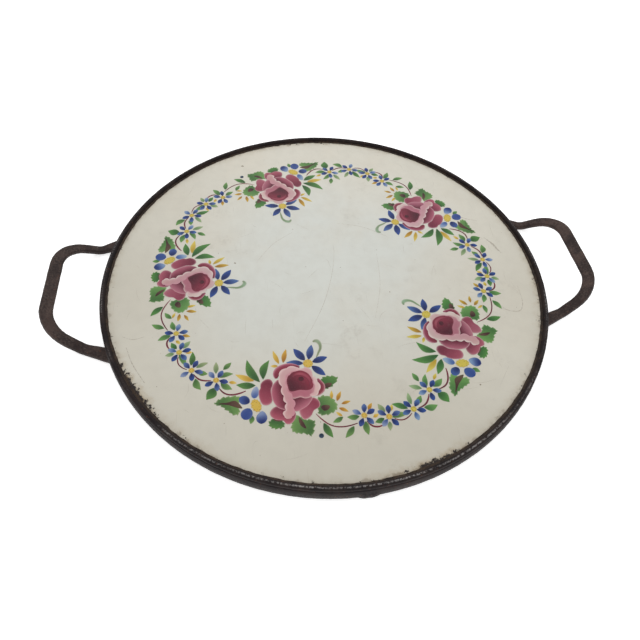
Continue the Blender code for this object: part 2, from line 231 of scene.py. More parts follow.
# ================================================================ materials
class Surface:
    """A Principled material and short calls for the nodes that feed it."""

    def __init__(self, name, specular):
        self.made = bpy.data.materials.new(name)
        self.made.use_nodes = True
        self.tree = self.made.node_tree
        self.shader = self.tree.nodes["Principled BSDF"]
        self.shader.inputs["Specular IOR Level"].default_value = specular
        self.place = self.tree.nodes.new("ShaderNodeTexCoord").outputs["Object"]

    def node(self, kind, inputs, **settings):
        made = self.tree.nodes.new("ShaderNode" + kind)
        for key, value in settings.items():
            setattr(made, key, value)
        for key, value in inputs.items():
            self.feed(made.inputs[key], value)
        return made

    def feed(self, socket, value):
        if isinstance(value, bpy.types.NodeSocket):
            self.tree.links.new(value, socket)
        elif isinstance(value, tuple) and socket.type == "RGBA":
            socket.default_value = (*value[:3], 1.0)
        else:
            socket.default_value = value

    def set(self, **sockets):
        for key, value in sockets.items():
            self.feed(self.shader.inputs[key.replace("_", " ")], value)

    def math(self, operation, a, b, c=0.0):
        return self.node("Math", {0: a, 1: b, 2: c}, operation=operation).outputs[0]

    def times(self, a, b):
        return self.math("MULTIPLY", a, b)

    def noise(self, scale, detail=3.0, rough=0.5, at=None, distort=0.0):
        made = self.node("TexNoise", {"Vector": at or self.place, "Scale": scale, "Detail": detail,
                                      "Roughness": rough, "Distortion": distort})
        return made.outputs["Fac"]

    def stretched(self, angle, scale, offset=0.0):
        """The place, turned about Z and scaled unevenly, for streaks."""
        made = self.node("Mapping", {"Vector": self.place, "Rotation": (0.0, 0.0, radians(angle)),
                                     "Scale": scale, "Location": (offset, offset, 0.0)})
        return made.outputs["Vector"]

    def range(self, value, low, high, to_low=0.0, to_high=1.0):
        made = self.node("MapRange", {"Value": value, "From Min": low, "From Max": high,
                                      "To Min": to_low, "To Max": to_high},
                         interpolation_type="SMOOTHSTEP")
        return made.outputs[0]

    def mix(self, share, a, b):
        made = self.node("Mix", {}, data_type="RGBA")
        self.feed(made.inputs[0], share)
        self.feed(made.inputs[6], a)
        self.feed(made.inputs[7], b)
        return made.outputs[2]

    def wash(self, colour, tone, share, strength=1.0):
        """A tone over a colour, both in display values unless the colour is an output."""
        if isinstance(colour, tuple):
            colour = linear(colour)
        if strength < 1:
            share = self.times(share, strength)
        return self.mix(share, colour, linear(tone))

    def attribute(self, name, output="Fac"):
        return self.node("Attribute", {}, attribute_name=name).outputs[output]

    def bump(self, height, depth, strength=1.0):
        made = self.node("Bump", {"Height": height, "Distance": depth, "Strength": strength})
        self.set(Normal=made.outputs["Normal"])


def worn_iron(name, dark, brown, worn, gloss):
    """Old iron: dark scale, brown bloom, small rust specks, and rubbed metal where wear is 1. The wear values
    also carry painted highlights, so the rubbed colour is partly a painted highlight.
    """
    s = Surface(name, specular=0.15)
    bloom = s.range(s.noise(45, 5, 0.6), 0.42, 0.64)
    colour = s.wash(dark, brown, bloom)
    rust = s.range(s.noise(420, 4, 0.65), 0.60, 0.70)
    colour = s.wash(colour, (96, 62, 44), rust, 0.55)
    grain = s.noise(900, 4, 0.6)
    broken = s.math("ADD", s.times(grain, 0.5), s.times(s.noise(520, 3), 0.5))
    # rubbed metal and painted highlight together, read from the wear values
    rubbed_and_glint = s.times(s.attribute("wear"), s.range(broken, 0.42, 0.60))
    colour = s.wash(colour, worn, rubbed_and_glint)
    s.set(Base_Color=colour,
          Roughness=s.range(rubbed_and_glint, 0.0, 1.0, *gloss),
          Metallic=s.range(rubbed_and_glint, 0.0, 1.0, 0.0, 0.8))
    s.bump(s.math("ADD", s.noise(300, 5, 0.6), s.times(grain, 0.4)), 0.35 * MM, 0.7)
    return s.made


def cream_paint():
    """Old cream paint with a painted reflection that keeps the middle cool and clean; beige outside, stained
    and chipped at the rim.
    """
    s = Surface("aged_cream_paint", specular=0.4)
    flat = s.node("VectorMath", {0: s.place, 1: (1.0, 1.0, 0.0)}, operation="MULTIPLY").outputs[0]
    radius = s.node("VectorMath", {0: flat}, operation="LENGTH").outputs["Value"]
    wear = s.attribute("wear")
    cloud = s.noise(9, 3, 0.5)
    # painted reflection: a cool pale tint in the middle, warming to beige towards the rim
    wide = s.math("MULTIPLY_ADD", s.math("SUBTRACT", cloud, 0.5), 0.14, radius)
    colour = s.wash((205, 207, 200), (209, 205, 192), s.range(wide, 0.075, 0.190))
    warm = s.range(s.noise(14, 4, 0.6), 0.46, 0.68)
    colour = s.wash(colour, (205, 192, 170), warm, 0.16)
    colour = s.wash(colour, (194, 189, 175), s.attribute("beige"), 0.95)
    mottle = s.range(s.noise(70, 6, 0.65), 0.35, 0.70)
    colour = s.wash(colour, (176, 172, 160), mottle, 0.16)
    smudge = s.times(s.range(s.noise(38, 5, 0.7), 0.56, 0.72), s.range(s.noise(9, 1), 0.45, 0.65))
    colour = s.wash(colour, (156, 150, 138), smudge, 0.30)

    hairs = None
    for angle, offset in ((18, 0.0), (-37, 3.1), (71, 7.7), (128, 5.3)):
        streak = s.noise(1.0, 2, 0.5, s.stretched(angle, (1500.0, 26.0, 1.0), offset), 0.25)
        patch = s.range(s.noise(22, 2, 0.5, s.stretched(angle, (1.0, 1.0, 1.0), offset)), 0.50, 0.66)
        line = s.times(s.range(streak, 0.69, 0.76), patch)
        hairs = line if hairs is None else s.math("MAXIMUM", hairs, line)
    colour = s.wash(colour, (150, 142, 128), hairs, 0.42)

    ragged = s.math("MULTIPLY_ADD", s.math("SUBTRACT", s.noise(130, 6, 0.7), 0.5), 0.020, radius)
    grime = s.times(s.range(ragged, 0.2060, 0.2160), s.range(wear, 0.0, 1.0, 0.15, 0.75))
    colour = s.wash(colour, (166, 146, 112), grime)
    stain = s.times(s.range(ragged, 0.2125, 0.2158), s.range(wear, 0.0, 1.0, 0.25, 0.95))
    colour = s.wash(colour, (96, 78, 56), stain)

    near = s.range(radius, 0.2055, 0.2150)
    torn = s.math("ADD", s.noise(230, 8, 0.72), s.times(s.noise(60, 2), 0.25))
    reach = s.times(near, s.range(wear, 0.0, 1.0, 0.10, 0.34))
    chips = s.range(s.math("ADD", torn, reach), 0.850, 0.880)
    chips = s.times(chips, s.range(radius, 0.2050, 0.2075))
    colour = s.wash(colour, (42, 34, 31), chips)
    s.set(Base_Color=colour,
          Roughness=s.range(s.math("MAXIMUM", chips, stain), 0.0, 1.0, 0.42, 0.75))
    film = s.math("SUBTRACT", s.times(s.noise(260, 4), 0.12), chips)
    s.bump(s.math("SUBTRACT", film, s.times(hairs, 0.25)), 0.10 * MM, 0.8)
    return s.made


def transfer_paint(name, gloss):
    """Transfer print, airbrushed: the colours are stored in the mesh, and the film is a little patchy."""
    s = Surface(name, specular=0.2)
    printed = s.attribute("print", "Color")
    thin = s.range(s.noise(520, 5, 0.65), 0.52, 0.75)
    colour = s.wash(printed, (205, 200, 188), thin, 0.05)
    deep = s.range(s.noise(190, 3, 0.5), 0.35, 0.65)
    colour = s.wash(colour, (60, 50, 50), deep, 0.05)
    s.set(Base_Color=colour, Roughness=s.range(thin, 0.0, 1.0, gloss, gloss + 0.15))
    s.bump(s.noise(700, 4), 0.04 * MM, 0.6)
    return s.made


def mark_paint():
    """Dirt in scratches and specks: the darkness is stored in the mesh."""
    s = Surface("ground_in_dirt", specular=0.2)
    patchy = s.range(s.noise(600, 4), 0.35, 0.65)
    colour = s.wash(s.attribute("print", "Color"), (160, 150, 134), patchy)
    s.set(Base_Color=colour, Roughness=s.range(s.noise(300, 3), 0.3, 0.7, 0.55, 0.8))
    return s.made


def primer():
    """The panel's underside: brown-black stoving primer, scuffed through to rust in spots."""
    s = Surface("underside_primer", specular=0.3)
    colour = s.wash((46, 38, 34), (70, 58, 50), s.noise(30, 5, 0.6))
    rust = s.range(s.noise(130, 7, 0.7), 0.60, 0.68)
    colour = s.wash(colour, (122, 74, 44), rust)
    s.set(Base_Color=colour, Roughness=s.range(rust, 0.0, 1.0, 0.55, 0.85))
    s.bump(s.noise(420, 5, 0.6), 0.15 * MM, 0.6)
    return s.made


def old_putty():
    s = Surface("old_putty", specular=0.2)
    colour = s.wash((44, 37, 34), (66, 54, 44), s.range(s.noise(110, 5, 0.65), 0.36, 0.62))
    colour = s.wash(colour, (34, 28, 25), s.range(s.noise(340, 5, 0.7), 0.54, 0.64))
    s.set(Base_Color=colour, Roughness=s.range(s.noise(500, 3), 0.3, 0.7, 0.7, 0.9))
    s.bump(s.noise(600, 5, 0.6), 0.25 * MM, 0.9)
    return s.made


def blackened_steel(name, tint, metallic, roughness, rust_share):
    """Blackened or bare steel with a rolled grain and a little rust."""
    s = Surface(name, specular=0.4)
    pale = tuple(min(255, c + 26) for c in tint)
    colour = s.wash(tint, pale, s.range(s.noise(60, 5, 0.6), 0.35, 0.65))
    streak = s.noise(1.0, 4, 0.6, s.stretched(4, (900.0, 70.0, 400.0)))
    colour = s.wash(colour, tuple(c * 0.7 for c in tint), streak, 0.25)
    rust = s.times(s.range(s.noise(150, 7, 0.7), 0.58, 0.68), rust_share)
    colour = s.wash(colour, (118, 72, 44), rust)
    s.set(Base_Color=colour,
          Roughness=s.range(rust, 0.0, 1.0, roughness, 0.85),
          Metallic=s.range(rust, 0.0, 0.6, metallic, 0.1))
    s.bump(s.math("ADD", s.noise(380, 5, 0.6), streak), 0.12 * MM, 0.6)
    return s.made


def black_rubber():
    s = Surface("black_rubber", specular=0.3)
    dusty = s.range(s.noise(180, 5, 0.6), 0.45, 0.70)
    s.set(Base_Color=s.wash((30, 30, 31), (66, 63, 60), dusty),
          Roughness=s.range(dusty, 0.0, 1.0, 0.62, 0.85))
    s.bump(s.noise(900, 3), 0.08 * MM, 0.5)
    return s.made


# ================================================================ hoop, handles, seal
WELD_AT = radians(-88.0)       # a lump of weld low on the hoop's front
WELD_HALF = 0.0085
WELD_PROUD = 0.0014
WELD_BALL = 0.00125                 # the handle's welds are melted together from balls of this radius
ROOT_HALF = 0.0072                  # half width of a handle's root under its weld
HANDLE_VOXEL = 0.00055


def hoop_section():
    """Flat inside, round bead on top, groove, then a tall outer face that swells a little."""
    bead = (HOOP_INNER_R + BEAD_R, HOOP_H - BEAD_R)
    low = 0.0007
    high = bead[1] - GROOVE_DEPTH - 0.0010
    half = (high - low) / 2
    bow = (half ** 2 + FACE_SWELL ** 2) / (2 * FACE_SWELL)
    spread = degrees(asin(half / bow))
    section = [(HOOP_INNER_R, 0.0), (HOOP_INNER_R, 0.006), (HOOP_INNER_R, 0.012)]
    section += arc(bead, BEAD_R, 180, -8, 20)
    section += arc((bead[0] + BEAD_R + 0.0001, bead[1] - GROOVE_DEPTH), 0.0006, 150, 250, 4)
    section += arc((HOOP_R - bow, (low + high) / 2), bow, spread, -spread, 16)
    section += [(HOOP_R - FACE_SWELL - 0.0006, 0.0001), (HOOP_R - FACE_SWELL - 0.0012, 0.0)]
    return section


def hammered(r, z, a):
    """Small forging marks on the hoop, and the lump of weld."""
    if r < HOOP_INNER_R + 0.0004:
        return r, z
    dent = 0.10 * roundabout(a, HOOP_R, 0.011, z / 0.6) + 0.08 * roundabout(a, HOOP_R, 0.0035, z)
    settle = 0.16 * roundabout(a, HOOP_R, 0.060, 4.0)
    r += (dent - 0.10) * MM
    if z > HOOP_H / 2:
        z += (settle - 0.16 + 0.5 * dent) * MM
    reach = (a - (WELD_AT % (2 * pi))) * HOOP_R / WELD_HALF
    if abs(reach) < 1 and z < HOOP_H * 0.6:
        lump = sqrt(1 - reach ** 2) * ease(HOOP_H * 0.62 - z, 0.0, 0.005)
        r += lump * WELD_PROUD * (1 + 0.3 * roundabout(a, HOOP_R, 0.004, 9.0))
    return r, z


def make_hoop(mats):
    mesh = turned("rim_hoop_forged", hoop_section(), 1080, hammered)
    wear = []
    for v in mesh.vertices:
        r = hypot(v.co.x, v.co.y)
        off_crown = abs(r - HOOP_INNER_R - BEAD_R)
        crown = (1 - ease(off_crown, 0.0003, 0.0010)) * (1 if v.co.z > HOOP_H / 2 else 0)
        belly = 0.12 * ease(r, HOOP_R - 0.0006, HOOP_R) * ease(v.co.z, 0.003, 0.008)
        # the rubbed crown grows towards the front: wear on the bead, and a painted highlight where the near
        # side of the hoop catches the light
        front_wear_and_glint = 0.10 + 0.35 * ease(-v.co.y, 0.14, 0.21)
        long = front_wear_and_glint + 0.35 * roundabout(atan2(v.co.y, v.co.x), HOOP_R, 0.030, 2.0)
        wear.append(min(1.0, max(0.0, max(crown, belly) * long * 1.15)))
    point_values(mesh, "wear", wear)
    add_piece(mesh, [mats["iron"]], replaces=["rim_hoop"])


def lumps_into(bm, places):
    """Small balls that the remesh melts into one run of weld."""
    for n, place in enumerate(places):
        grown = WELD_BALL * (1 + 0.18 * sin(7.3 * n))
        bmesh.ops.create_icosphere(bm, subdivisions=2, radius=grown, matrix=Matrix.Translation(place))


def root_welds(low, high, side):
    """Places along the top and the two edges of each handle root, where the bar meets the hoop."""
    places = []
    half = ROOT_HALF
    edge = max(abs(low.y), abs(high.y)) - half - 0.0004
    outline = [(-half, 0.0022), (-half, 0.0048), (half, 0.0048), (half, 0.0022)]
    outline += [(-half + 2 * half * k / 8, 0.0062) for k in range(9)]
    for end in (-1, 1):
        for across, z in outline:
            y = end * (edge + across)
            x = side * sqrt((HOOP_R - 0.0002) ** 2 - y ** 2)
            places.append(Vector((x, y, z)))
    return places


def make_handle(word, side, mats):
    """The bar of the frame, remeshed finely, with weld at its roots and hammer marks."""
    node = "handle_" + word
    low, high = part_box(node)
    bm = bmesh.new()
    bm.from_mesh(frame["nodes"][node].data)
    lumps_into(bm, root_welds(low, high, side))
    rough = bpy.data.meshes.new("rough")
    bm.to_mesh(rough)
    bm.free()
    rough.materials.clear()
    maker = put("maker", rough)
    remesh = maker.modifiers.new("remesh", "REMESH")
    remesh.mode = "VOXEL"
    remesh.voxel_size = HANDLE_VOXEL
    shape = maker.evaluated_get(bpy.context.evaluated_depsgraph_get())
    mesh = bpy.data.meshes.new_from_object(shape)
    bpy.data.objects.remove(maker, do_unlink=True)

    bm = bmesh.new()
    bm.from_mesh(mesh)
    for _ in range(4):
        bmesh.ops.smooth_vert(bm, verts=bm.verts, factor=0.5, use_axis_x=True, use_axis_y=True,
                              use_axis_z=True)
    bm.normal_update()
    wear = []
    moves = []
    for v in bm.verts:
        dents = noise.noise(v.co / 0.009 + Vector((side * 3.0, 0, 0)))
        pits = noise.noise(v.co / 0.0022)
        along = noise.noise(Vector((v.co.x / 0.0016, v.co.y / 0.030, v.co.z / 0.0016)))
        moves.append(v.normal * (0.20 * dents + 0.06 * pits + 0.05 * along - 0.02) * MM)
        # upward faces take more of the lighter rubbed colour: a painted highlight from the light above, added
        # to the wear from dents and grain
        top = ease(v.normal.z, 0.35, 0.85)
        wear.append(min(1.0, max(0.0, 0.28 * top + 0.45 * dents + 0.25 * along + 0.12)))
    for v, move in zip(bm.verts, moves):
        v.co += move
    bm.to_mesh(mesh)
    bm.free()
    point_values(mesh, "wear", wear)
    mesh.name = node + "_forged"
    add_piece(mesh, [mats["bar"]], replaces=[node], sharp=60)


def make_seal(mats):
    """A crumbled fillet of putty between the panel and the hoop."""
    inner = PANEL_R - 0.0006
    outer = HOOP_INNER_R - 0.00005
    base = PANEL_TOP - 0.0008
    section = [(PANEL_R + GAP, base), (inner, PANEL_TOP + 0.00002), (PANEL_R + 0.0004, PANEL_TOP + 0.0003),
               (outer - 0.0006, PANEL_TOP + 0.0006), (outer, PANEL_TOP + 0.0010), (outer, base)]

    def crumbled(r, z, a):
        if z > base + 0.0001:
            z += 0.35 * MM * roundabout(a, HOOP_R, 0.0045, r / 0.4)
            z = max(z, PANEL_TOP + 0.00001)
            if r < PANEL_R + 0.0001:
                r += 0.55 * MM * roundabout(a, HOOP_R, 0.006, 5.0)
        return r, z

    mesh = turned("edge_seal_crumbled", section, 900, crumbled)
    add_piece(mesh, [mats["putty"]], replaces=["edge_seal"])


# ================================================================ painted panel
# (direction from the centre in degrees, strength, half width in degrees) of the worst chipped stretches
CHIPPED = [(-148, 1.0, 8), (-128, 0.25, 8), (-86, 0.20, 5), (-73, 0.65, 9), (-45, 0.15, 10),
           (-8, 0.28, 16), (95, 0.22, 18), (178, 0.15, 10)]
CHIPPED_EVERYWHERE = 0.10
# (x, y, radius, strength) of dull beige stretches, in millimetres
BEIGE = [(-40, -210, 110, 0.75), (80, -205, 105, 0.80), (-205, 0, 85, 0.80), (-150, -140, 70, 0.40),
         (195, -40, 75, 0.45), (-150, 140, 60, 0.35)]


def panel_height(x, y):
    """Height of the painted surface: sheet iron is never quite flat."""
    calm = 1 - ease(hypot(x, y), 0.17, PANEL_R)
    return PANEL_TOP + 0.14 * MM * calm * noise.noise(Vector((x, y, 0.7)) / 0.085)


def chipped_at(angle):
    wear = CHIPPED_EVERYWHERE
    for centre, strength, half in CHIPPED:
        off = (degrees(angle) - centre + 180) % 360 - 180
        wear += strength * exp(-(off / half) ** 2)
    return min(1.0, wear)


def make_panel(mats):
    """A disc with a fine painted face, a rolled edge and a primed underside."""
    steps = 360
    radii = [0.002 * k for k in range(1, 101)] + [0.2005 + 0.0007 * k for k in range(22)]
    radii = [r for r in radii if r < PANEL_R - 0.0004]
    rings = [(r, None) for r in radii]
    rings += [(PANEL_R - 0.0002, PANEL_TOP - 0.00002), (PANEL_R, PANEL_TOP - 0.0002),
              (PANEL_R, PANEL_BOTTOM + 0.0002), (PANEL_R - 0.0002, PANEL_BOTTOM)]
    rings += [(r, PANEL_BOTTOM) for r in (0.20, 0.15, 0.10, 0.05)]
    points = [(0, 0, panel_height(0, 0))]
    for r, z in rings:
        for i in range(steps):
            a = 2 * pi * i / steps
            x, y = polar(r, a)
            points.append((x, y, panel_height(x, y) if z is None else z))
    points.append((0, 0, PANEL_BOTTOM))
    faces = grid_faces(len(rings), steps, False, True, 1)
    last = 1 + (len(rings) - 1) * steps
    for i in range(steps):
        n = (i + 1) % steps
        faces.append((0, 1 + i, 1 + n))
        faces.append((len(points) - 1, last + n, last + i))
    mesh = outward(mesh_of("tray_panel_painted", points, faces))
    wear = []
    beige = []
    for v in mesh.vertices:
        wear.append(chipped_at(atan2(v.co.y, v.co.x)))
        spread = sum(s * exp(-((v.co.x / MM - x) ** 2 + (v.co.y / MM - y) ** 2) / r ** 2)
                     for x, y, r, s in BEIGE)
        beige.append(min(1.0, spread))
    point_values(mesh, "wear", wear)
    point_values(mesh, "beige", beige)
    mesh.materials.append(mats["cream"])
    mesh.materials.append(mats["primer"])
    for face in mesh.polygons:
        face.material_index = 1 if face.normal.z < -0.5 else 0
    add_piece(mesh, [], replaces=["tray_panel"])


# ================================================================ drawing with paint
class Painter:
    """Collects flat painted shapes, with a colour at each point, into one mesh on the panel."""

    def __init__(self):
        self.points = []
        self.colours = []
        self.faces = []
        self.place = lambda u, v: (u, v)
        self.tint = (1.0, 1.0, 1.0)

    def grid(self, rows, layer, wrap=False):
        """rows is a list of rows of (u, v, colour), in millimetres."""
        first = len(self.points)
        for row in rows:
            for u, v, colour in row:
                x, y = self.place(u, v)
                self.points.append((x, y, panel_height(x, y) + layer * LAYER))
                self.colours.append((*[c * t for c, t in zip(linear(colour), self.tint)], 1.0))
        self.faces += grid_faces(len(rows), len(rows[0]), False, wrap, first)

    def leafy(self, base, tip, width, colours, layer, bow=0.0, belly=0.5, blunt=1.0):
        """A leaf, bud or petal from base to tip. colours are (base, tip, edge). belly is where it is
        widest, blunt under 1 makes it rounder, and bow bends it to the left of its direction."""
        base = np.array(base, float)
        along = np.array(tip, float) - base
        left = np.array((-along[1], along[0]))
        inner, outer, rim = colours
        rows = []
        steps = 14
        power = log(0.5) / log(belly)
        for i in range(steps + 1):
            s = i / steps
            half = width / 2 * max(0.0, sin(pi * s ** power)) ** blunt + 0.05
            centre = base + along * s + left * bow * sin(pi * s)
            side = left / np.linalg.norm(left)
            row = []
            for t in (-1.0, -0.86, -0.55, -0.15, 0.25, 0.62, 0.88, 1.0):
                u, v = centre + side * half * t
                shade = blend_colour(inner, outer, ease(s + 0.12 * t, 0.05, 0.95))
                shade = blend_colour(shade, rim, 0.85 if abs(t) == 1 else 0.25 * ease(abs(t), 0.4, 0.9))
                row.append((u, v, shade))
            rows.append(row)
        self.grid(rows, layer)

    def ribbon(self, knots, colours, layer, edge=None, scallops=None):
        """A painted stroke. knots are (u, v, width), colours run along it, edge is (left, right).
        scallops are (count, depth) of round lobes along both edges."""
        path = smooth_path(knots, 8)
        rows = []
        last = len(path) - 1
        for i, (u, v, width) in enumerate(path):
            ahead = path[min(i + 1, last)][:2] - path[max(i - 1, 0)][:2]
            ahead = ahead / max(np.linalg.norm(ahead), 1e-9)
            step = i / last * (len(colours) - 1)
            k = min(int(step), len(colours) - 2)
            body = blend_colour(colours[k], colours[k + 1], step - k)
            sides = edge or (body, body)
            row = []
            for t in (-1.0, -0.84, -0.5, 0.0, 0.5, 0.84, 1.0):
                reach = t * width / 2
                if scallops:
                    phase = scallops[0] * i / last + (0.35 if t > 0 else 0.0)
                    deep = scallops[1] * min(1.0, 5 * i / last, 5 * (1 - i / last))
                    reach += copysign(t * t, t) * deep * (abs(sin(pi * phase)) - 0.6)
                shade = blend_colour(body, sides[0 if t > 0 else 1], ease(abs(t), 0.35, 1.0))
                row.append((u - ahead[1] * reach, v + ahead[0] * reach, shade))
            rows.append(row)
        self.grid(rows, layer)

    def blob(self, outline, shades, layer, rim=None, toward=90, focus=None, teeth=None):
        """A closed shape through the outline's points. shades are (low, high) along the direction
        toward, in degrees. rim is the colour of its outer edge. teeth are (count, depth)."""
        path = smooth_path(outline, 11 if teeth else 5, closed=True)
        n = len(path)
        middle = np.array(focus if focus else sum(path) / n, float)
        edge = []
        for i, p in enumerate(path):
            ahead = path[(i + 1) % n] - path[i - 1]
            out = np.array((ahead[1], -ahead[0])) / max(np.linalg.norm(ahead), 1e-9)
            if np.dot(out, p - middle) < 0:
                out = -out
            bite = 0.0
            if teeth:
                bite = teeth[1] * ((i * teeth[0] / n) % 1.0 - 0.35)
            edge.append(p + out * bite)
        d = np.array(polar(1, radians(toward)))
        spans = [float(np.dot(p, d)) for p in edge]
        low, high = min(spans), max(spans)
        rows = []
        for scale in (1.0, 0.93, 0.84, 0.66, 0.42, 0.18):
            row = []
            for p in edge:
                q = middle + (p - middle) * scale
                shade = blend_colour(shades[0], shades[1], ease(float(np.dot(q, d)), low, high))
                if rim:
                    shade = blend_colour(shade, rim, (0.9, 0.35, 0.08, 0, 0, 0)[len(rows)])
                row.append((q[0], q[1], shade))
            rows.append(row)
        self.grid(rows, layer, wrap=True)
        ring = len(self.points) - n
        x, y = self.place(*middle)
        self.points.append((x, y, panel_height(x, y) + layer * LAYER))
        self.colours.append(self.colours[ring])
        for i in range(n):
            self.faces.append((ring + i, ring + (i + 1) % n, len(self.points) - 1))

    def build(self, name, mats):
        mesh = mesh_of(name, self.points, self.faces)
        made = mesh.color_attributes.new("print", "FLOAT_COLOR", "POINT")
        made.data.foreach_set("color", np.array(self.colours, np.float32).ravel())
        reshape(mesh, lambda bm: bmesh.ops.reverse_faces(bm, faces=[f for f in bm.faces if f.normal.z < 0]))
        add_piece(mesh, mats, sharp=0)


# ---------------------------------------------------------------- colours of the garland
PALE = (208, 203, 192)
GREENS = {"deep": ((44, 84, 42), (78, 128, 60), (128, 154, 104)),
          "mid": ((60, 100, 50), (100, 142, 76), (146, 168, 120)),
          "pale": ((98, 126, 82), (144, 162, 118), (174, 186, 152))}
YELLOWS = {"ochre": ((150, 104, 34), (194, 156, 56), (206, 190, 136)),
           "yellow": ((176, 140, 46), (208, 184, 86), (212, 202, 150))}
BLUES = {"deep": ((20, 34, 84), (42, 72, 138), (112, 132, 168)),
         "mid": ((26, 44, 98), (76, 106, 158), (134, 150, 178)),
         "pale": ((54, 80, 134), (132, 152, 184), (166, 178, 190))}
CENTRE = (206, 180, 78)
CENTRE_RIM = (190, 160, 70)
STAMEN = (140, 108, 42)
HEART = (56, 28, 30)
HEART_TIP = (92, 70, 54)
HEART_RIM = (86, 92, 60)
VINE = ((120, 50, 62), (88, 30, 42))
INK = {"garland_roses": 0.88, "garland_blue_flowers": 0.94}     # less than 1 prints darker

# Every place below is (across, outward) in millimetres, in the frame of one spray: across runs
# clockwise round the tray, and outward is the distance from the tray's centre.
VINES = [
    [(-15.2, 155, 0.5), (-20.5, 158.8, 1.1), (-26.5, 162, 1.2), (-33, 163.4, 1.2),
     (-40, 162.4, 1.2), (-46, 160, 1.1), (-51, 157.2, 0.8)],
    [(-73, 154.6, 0.9), (-69, 157, 1.5), (-65, 157.6, 1.6), (-61.5, 156.4, 1.4),
     (-58.5, 153.8, 0.8)],
    [(47.6, 144.8, 0.8), (51.8, 147.8, 1.5), (57, 150.2, 1.6), (62, 150.9, 1.5),
     (66.5, 149.7, 1.4), (71.2, 146.2, 0.8)],
    [(79.6, 140.4, 0.7), (84, 141.5, 1.5), (88.5, 141.6, 1.6), (92.5, 140.2, 1.4),
     (96.6, 137.2, 0.8)],
    [(-81, 147.2, 0.6), (-85, 148, 1.1), (-89.5, 146.8, 1.1), (-93.2, 143.4, 1),
     (-95.4, 139.8, 0.6)],
]
# base, tip, width, green, bow
LEAVES = [
    ((40.6, 138.2), (57.4, 140.8), 6.6, "deep", 0.03), ((37.8, 134.4), (54.4, 114.6), 7.6, "deep", 0.10),
    ((35.6, 131.4), (34.6, 111.2), 7, "deep", 0.12), ((71, 141.2), (59.6, 145.5), 5.8, "mid", -0.06),
    ((73.4, 136.4), (62.6, 130.6), 4.8, "mid", 0.10), ((72.2, 128.2), (67.2, 119.8), 4.6, "mid", 0),
    ((77.4, 133.2), (80.6, 121.8), 4.6, "pale", 0), ((74.4, 146.6), (78.4, 159), 8.8, "deep", 0.06),
    ((93.6, 141.2), (85.8, 150.8), 6.2, "mid", -0.12), ((96.2, 130.6), (87.2, 123.6), 4.2, "pale", 0.04),
    ((101.2, 129.4), (104, 115.4), 5.4, "deep", -0.04), ((93.6, 135.2), (84.4, 134.8), 5, "mid", 0),
    ((-48.4, 160.3), (-42.8, 171.8), 5.2, "mid", 0.04), ((-23, 162), (-32.8, 173.4), 6, "deep", -0.04),
    ((-38.2, 153.8), (-30.6, 160.2), 4.4, "mid", 0.05), ((-57.4, 154.2), (-61.4, 165.9), 5.6, "mid", -0.05),
    ((-51.8, 150.8), (-41.6, 153.4), 5, "mid", 0.06), ((-72.6, 148.8), (-65.4, 153.8), 4.8, "deep", 0.06),
    ((-72.8, 143), (-65.8, 136.6), 4.8, "pale", 0.04), ((-77.4, 150.8), (-78.6, 159), 4.2, "pale", 0),
    ((-79, 146.8), (-92, 141), 5, "mid", 0.06), ((36.2, 166.4), (36.4, 173.8), 4.4, "mid", 0),
]
# base, tip, width, yellow
BUDS = [
    ((21.8, 111.8), (22.3, 97.2), 4.6, "ochre"), ((25.3, 113.4), (33.6, 101), 4.2, "yellow"),
    ((25.8, 115.8), (32.2, 117), 2.9, "yellow"), ((43, 134.2), (60.8, 131), 5.6, "yellow"),
    ((64.2, 139.3), (57.2, 139), 3.2, "yellow"), ((-33.6, 146.3), (-42.2, 148.1), 3.4, "ochre"),
    ((-35.2, 142.2), (-42.6, 138.1), 3, "ochre"), ((-31, 140.2), (-33, 130.4), 3.6, "ochre"),
    ((-26.4, 139.2), (-25, 131.2), 2.9, "yellow"), ((-37.6, 153.2), (-31.8, 150.4), 2.6, "yellow"),
    ((110, 117.6), (104.2, 115.8), 3, "yellow"), ((-58.4, 143.8), (-60.6, 136.6), 3.4, "ochre"),
    ((-63.4, 149.6), (-67.6, 145.8), 3.2, "yellow"),
]
# centre, directions of the petals in degrees
FLOWERS = [
    ((-55.6, 149.3), (78, 146, 222, 277, 345)), ((-76.5, 146.6), (66, 144, 216, 281, 341)),
    ((75.5, 139.4), (42, 112, 180, 253, 321)), ((99.4, 133.9), (46, 110, 178, 257, 324)),
]
# base, tip, width, colours, place of the widest part, bluntness, in the large flower beside the rose
LARGE_PETALS = [
    ((29.4, 160.6), (27.8, 172.2), 9.2, ((128, 150, 184), (24, 42, 104), (120, 136, 172)), 0.56, 0.55),
    ((40.4, 160.2), (42.8, 171), 10, ((54, 78, 138), (44, 70, 134), (118, 136, 172)), 0.52, 0.5),
    ((41.8, 154.8), (51.6, 152.6), 8.2, ((22, 40, 92), (58, 84, 144), (124, 142, 176)), 0.52, 0.5),
    ((39.2, 150.6), (39.6, 139), 6.6, ((66, 92, 150), (150, 168, 190), (176, 186, 196)), 0.42, 0.6),
]
# the pointed flower under the rose: its centre, then direction, length, width and blue of each petal
STAR = (-0.1, 108.3)
STAR_PETALS = [(153, 19.6, 6.6, "deep"), (212, 18.8, 6.4, "deep"), (271, 20, 6.6, "mid"),
               (321, 20.2, 7, "deep"), (8, 19.4, 5.8, "mid")]
